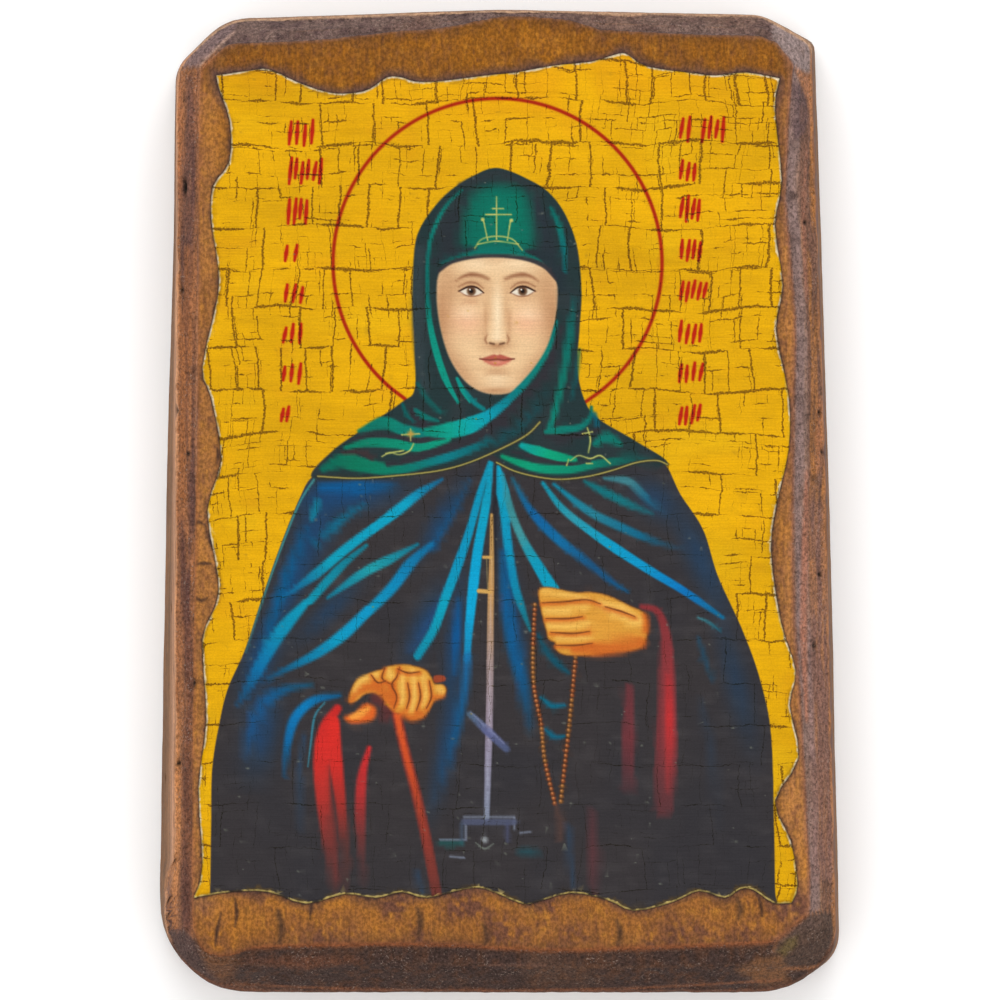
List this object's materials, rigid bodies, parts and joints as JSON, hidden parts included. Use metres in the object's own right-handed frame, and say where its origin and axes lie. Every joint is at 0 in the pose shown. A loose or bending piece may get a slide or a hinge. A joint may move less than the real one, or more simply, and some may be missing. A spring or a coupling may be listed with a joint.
{
  "type": "icon panel",
  "caption": "Thick hewn wooden panel with cut corners and chamfered edges, with a torn-edged devotional picture sheet glued flat on its face.",
  "frame": {"origin": "centre of the panel's outline, on the plane of its back", "axes": "+Z out of the picture, +Y towards the picture's head, +X towards the viewer's right"},
  "size_m": [0.0694, 0.1, 0.0184],
  "materials": {
    "stained_wood": "satin",
    "picture_print": "satin"
  },
  "bodies": {
    "root": {"wooden_board": "stained_wood", "picture_sheet": "picture_print"}
  },
  "joints": []
}
